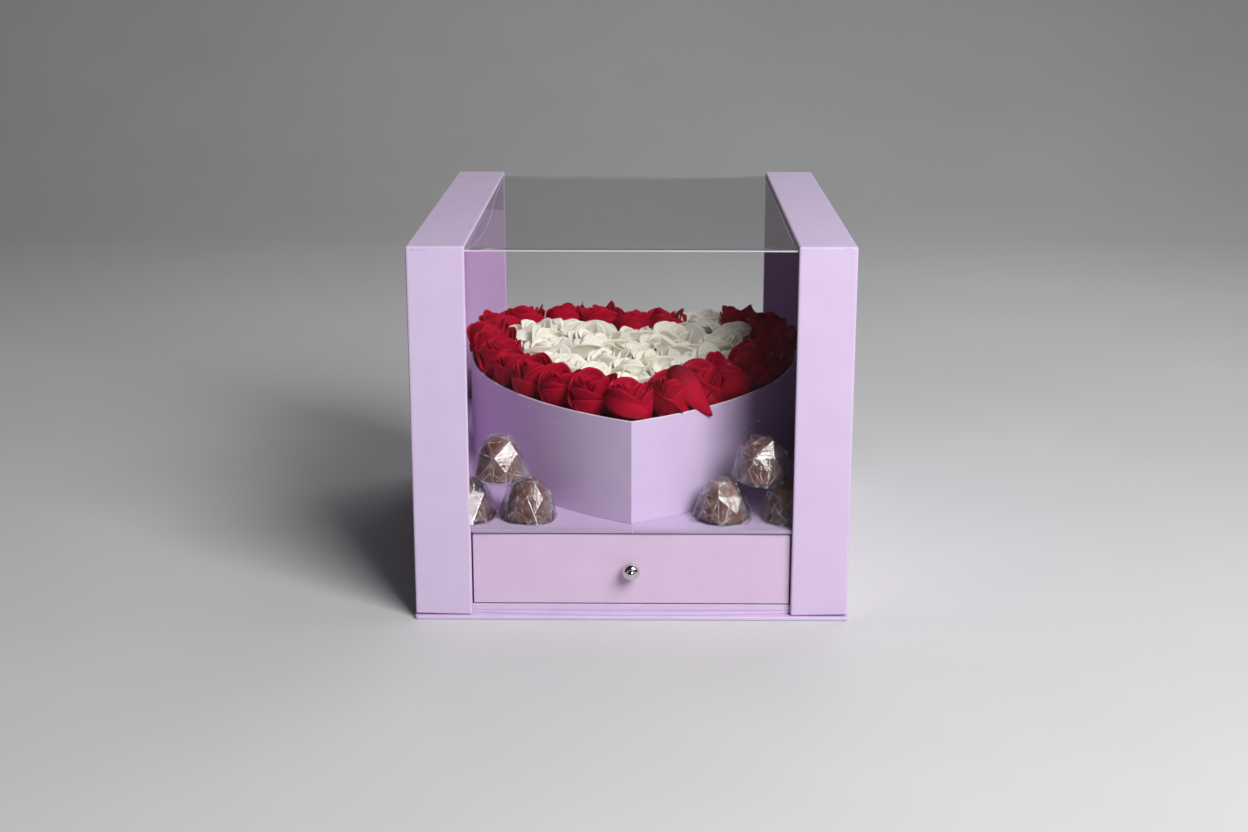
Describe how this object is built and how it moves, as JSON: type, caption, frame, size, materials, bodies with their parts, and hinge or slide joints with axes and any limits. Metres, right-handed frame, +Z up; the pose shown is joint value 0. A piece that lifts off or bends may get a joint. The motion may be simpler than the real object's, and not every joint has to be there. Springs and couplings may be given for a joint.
{
  "type": "flower box",
  "caption": "Paper-covered gift box with a heart-shaped box of roses and wrapped chocolates on a drawer base, under a lift-off cover with a clear folded window.",
  "frame": {"origin": "centre of the underside of the base board, where the box rests on a table", "axes": "+Z up, -Y towards the front, where the drawer's knob is, +X to the right of a person who faces the front"},
  "size_m": [0.302, 0.3801, 0.263],
  "materials": {
    "lilac_paper": "satin",
    "liner_paper": "matte",
    "clear_film": "gloss",
    "red_petals": "matte",
    "white_petals": "matte",
    "green_stem": "matte",
    "green_foam": "matte",
    "chocolate": "satin",
    "cellophane": "gloss",
    "polished_nickel": "polished",
    "zinc_steel": "satin"
  },
  "bodies": {
    "base": {"base_board": "lilac_paper", "chocolate_wraps": "cellophane", "chocolates": "chocolate", "deck_board": "lilac_paper", "drawer_guide_left": "lilac_paper", "drawer_guide_right": "lilac_paper", "floral_foam": "green_foam", "heart_box_floor": "lilac_paper", "heart_box_wall": "lilac_paper", "housing_back_wall": "lilac_paper", "housing_floor": "lilac_paper", "housing_left_cheek": "lilac_paper", "housing_left_wall": "lilac_paper", "housing_right_cheek": "lilac_paper", "housing_right_wall": "lilac_paper", "plinth_board": "lilac_paper", "red_rose_stems": "green_stem", "red_roses": "red_petals", "slip_sheet": "liner_paper", "white_rose_stems": "green_stem", "white_roses": "white_petals"},
    "drawer": {"drawer_front": "lilac_paper", "drawer_floor": "lilac_paper", "drawer_left_side": "lilac_paper", "drawer_right_side": "lilac_paper", "drawer_back": "lilac_paper", "drawer_liner": "liner_paper", "drawer_knob": "polished_nickel", "knob_screw": "zinc_steel", "knob_washer": "zinc_steel"},
    "cover": {"cover_left_back_strip": "lilac_paper", "cover_left_front_strip": "lilac_paper", "cover_left_panel": "lilac_paper", "cover_left_top_strip": "lilac_paper", "cover_right_back_strip": "lilac_paper", "cover_right_front_strip": "lilac_paper", "cover_right_panel": "lilac_paper", "cover_right_top_strip": "lilac_paper", "window_back": "clear_film", "window_front": "clear_film", "window_top": "clear_film"}
  },
  "joints": [
    {"name": "drawer_slide", "type": "slide", "parent": "base", "child": "drawer", "axis": [0, -1, 0], "range_m": [0, 0.25]},
    {"name": "cover_lift", "type": "slide", "parent": "base", "child": "cover", "axis": [0, 0, 1], "range_m": [0, 0.25]}
  ]
}
